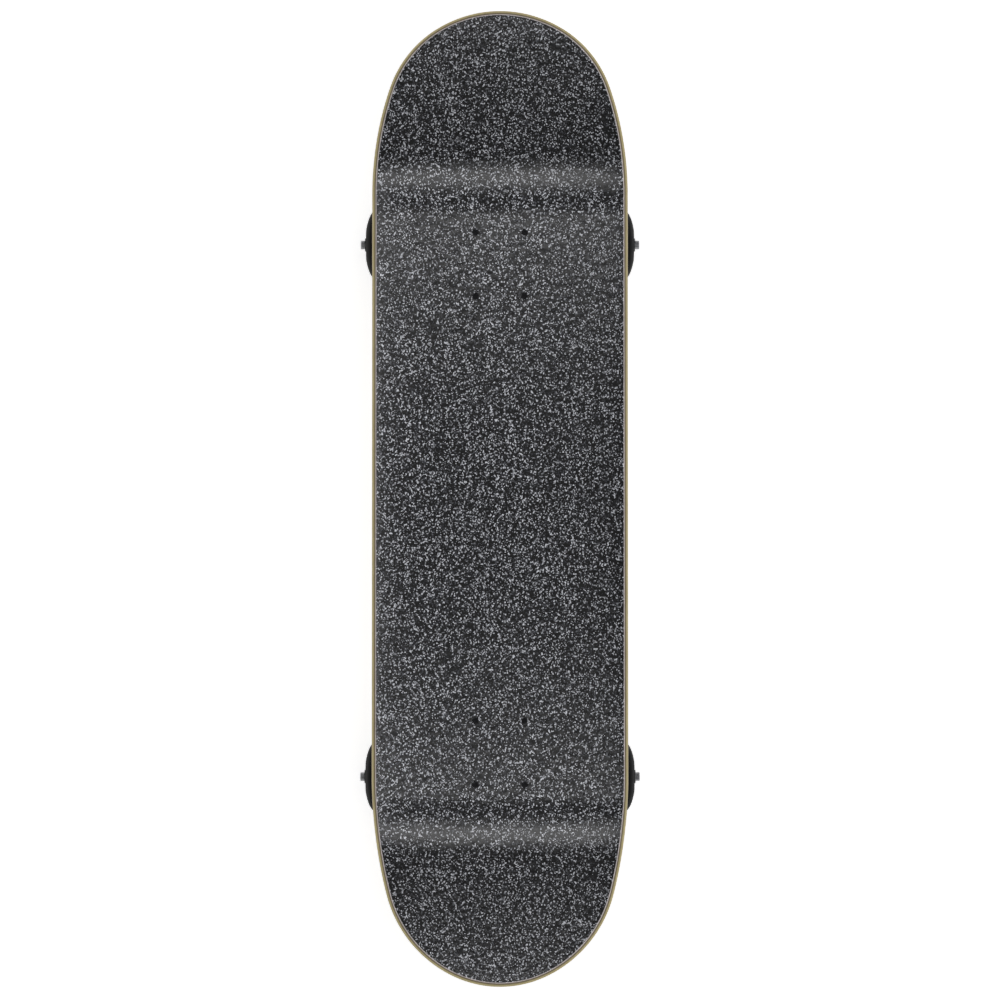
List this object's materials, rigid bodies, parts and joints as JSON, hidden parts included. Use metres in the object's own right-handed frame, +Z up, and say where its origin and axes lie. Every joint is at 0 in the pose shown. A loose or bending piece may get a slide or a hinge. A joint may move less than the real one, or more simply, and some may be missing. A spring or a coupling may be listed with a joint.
{
  "type": "skateboard",
  "caption": "Street skateboard: concave maple deck with upturned nose and tail, black grip, sprung steering trucks and domed black wheels on ball bearings.",
  "frame": {"origin": "on the ground under the middle of the deck's outline: the bottom centre of the whole board's box", "axes": "+X along the deck towards the nose, +Y along the axles towards the left side, +Z up; the wheels stand on Z = 0"},
  "size_m": [0.8134, 0.24, 0.1513],
  "materials": {
    "grip": "black silicon carbide grit on a paper backing",
    "maple_face": "lacquered maple face veneer",
    "maple_core": "raw maple core veneer",
    "maple_dyed": "dark dyed maple core veneer",
    "black_bolts": "black oxide steel",
    "zinc_steel": "bright zinc plate",
    "riser_rubber": "moulded black rubber",
    "cast_aluminium": "sand-blasted casting",
    "pivot_cup_urethane": "moulded black urethane",
    "bushing_urethane": "moulded black urethane",
    "polished_aluminium": "polished casting",
    "axle_steel": "ground steel",
    "bearing_steel": "ground and polished bearing steel",
    "spacer_aluminium": "turned aluminium",
    "bearing_shield": "black rubber-coated shield",
    "cage_nylon": "natural nylon",
    "wheel_urethane": "cast black urethane"
  },
  "bodies": {
    "board": {"deck_ply_1": "maple_face", "deck_ply_2": "maple_dyed", "deck_ply_3": "maple_core", "deck_ply_4": "maple_core", "deck_ply_5": "maple_dyed", "deck_ply_6": "maple_core", "deck_ply_7": "maple_face", "grip_tape": "grip", "mounting_bolts": "black_bolts", "mounting_nuts": "zinc_steel", "nose_baseplate": "cast_aluminium", "nose_boardside_bushing": "bushing_urethane", "nose_boardside_washer": "zinc_steel", "nose_kingpin": "zinc_steel", "nose_kingpin_nut": "zinc_steel", "nose_pivot_cup": "pivot_cup_urethane", "nose_riser_pad": "riser_rubber", "nose_roadside_bushing": "bushing_urethane", "nose_roadside_washer": "zinc_steel", "tail_baseplate": "cast_aluminium", "tail_boardside_bushing": "bushing_urethane", "tail_boardside_washer": "zinc_steel", "tail_kingpin": "zinc_steel", "tail_kingpin_nut": "zinc_steel", "tail_pivot_cup": "pivot_cup_urethane", "tail_riser_pad": "riser_rubber", "tail_roadside_bushing": "bushing_urethane", "tail_roadside_washer": "zinc_steel"},
    "nose_truck": {"nose_axle": "axle_steel", "nose_axle_nuts": "axle_steel", "nose_axle_washers": "axle_steel", "nose_bearing_inner_rings": "bearing_steel", "nose_bearing_spacers": "spacer_aluminium", "nose_hanger": "polished_aluminium"},
    "nose_left_wheel_set": {"nose_left_bearing_outer_rings": "bearing_steel", "nose_left_bearing_shields": "bearing_shield", "nose_left_wheel": "wheel_urethane"},
    "nose_left_ball_set": {"nose_left_bearing_balls": "bearing_steel", "nose_left_bearing_cages": "cage_nylon"},
    "nose_right_wheel_set": {"nose_right_bearing_outer_rings": "bearing_steel", "nose_right_bearing_shields": "bearing_shield", "nose_right_wheel": "wheel_urethane"},
    "nose_right_ball_set": {"nose_right_bearing_balls": "bearing_steel", "nose_right_bearing_cages": "cage_nylon"},
    "tail_truck": {"tail_axle": "axle_steel", "tail_axle_nuts": "axle_steel", "tail_axle_washers": "axle_steel", "tail_bearing_inner_rings": "bearing_steel", "tail_bearing_spacers": "spacer_aluminium", "tail_hanger": "polished_aluminium"},
    "tail_left_wheel_set": {"tail_left_bearing_outer_rings": "bearing_steel", "tail_left_bearing_shields": "bearing_shield", "tail_left_wheel": "wheel_urethane"},
    "tail_left_ball_set": {"tail_left_bearing_balls": "bearing_steel", "tail_left_bearing_cages": "cage_nylon"},
    "tail_right_wheel_set": {"tail_right_bearing_outer_rings": "bearing_steel", "tail_right_bearing_shields": "bearing_shield", "tail_right_wheel": "wheel_urethane"},
    "tail_right_ball_set": {"tail_right_bearing_balls": "bearing_steel", "tail_right_bearing_cages": "cage_nylon"}
  },
  "joints": [
    {"name": "nose_steer", "type": "hinge", "parent": "board", "child": "nose_truck", "pos_m": [0.22859, 0, 0.071], "axis": [0.8884, 0, 0.459], "range_deg": [-12, 12], "stiffness_Nm_per_rad": 84, "deforming": ["nose_boardside_bushing", "nose_roadside_bushing"]},
    {"name": "tail_steer", "type": "hinge", "parent": "board", "child": "tail_truck", "pos_m": [-0.24319, 0, 0.071], "axis": [-0.8884, 0, 0.459], "range_deg": [-12, 12], "stiffness_Nm_per_rad": 84, "deforming": ["tail_boardside_bushing", "tail_roadside_bushing"]},
    {"name": "nose_left_wheel_spin", "type": "hinge", "parent": "nose_truck", "child": "nose_left_wheel_set", "pos_m": [0.22159, 0.09715, 0.03], "axis": [0, 1, 0], "continuous": true},
    {"name": "nose_left_ball_orbit", "type": "hinge", "parent": "nose_truck", "child": "nose_left_ball_set", "pos_m": [0.22159, 0.09715, 0.03], "axis": [0, 1, 0], "continuous": true},
    {"name": "nose_right_wheel_spin", "type": "hinge", "parent": "nose_truck", "child": "nose_right_wheel_set", "pos_m": [0.22159, -0.09715, 0.03], "axis": [0, 1, 0], "continuous": true},
    {"name": "nose_right_ball_orbit", "type": "hinge", "parent": "nose_truck", "child": "nose_right_ball_set", "pos_m": [0.22159, -0.09715, 0.03], "axis": [0, 1, 0], "continuous": true},
    {"name": "tail_left_wheel_spin", "type": "hinge", "parent": "tail_truck", "child": "tail_left_wheel_set", "pos_m": [-0.23619, 0.09715, 0.03], "axis": [0, 1, 0], "continuous": true},
    {"name": "tail_left_ball_orbit", "type": "hinge", "parent": "tail_truck", "child": "tail_left_ball_set", "pos_m": [-0.23619, 0.09715, 0.03], "axis": [0, 1, 0], "continuous": true},
    {"name": "tail_right_wheel_spin", "type": "hinge", "parent": "tail_truck", "child": "tail_right_wheel_set", "pos_m": [-0.23619, -0.09715, 0.03], "axis": [0, 1, 0], "continuous": true},
    {"name": "tail_right_ball_orbit", "type": "hinge", "parent": "tail_truck", "child": "tail_right_ball_set", "pos_m": [-0.23619, -0.09715, 0.03], "axis": [0, 1, 0], "continuous": true}
  ],
  "couplings": [
    {"joint": "nose_left_ball_orbit", "follows": "nose_left_wheel_spin", "ratio": 0.6323},
    {"joint": "nose_right_ball_orbit", "follows": "nose_right_wheel_spin", "ratio": 0.6323},
    {"joint": "tail_left_ball_orbit", "follows": "tail_left_wheel_spin", "ratio": 0.6323},
    {"joint": "tail_right_ball_orbit", "follows": "tail_right_wheel_spin", "ratio": 0.6323}
  ]
}
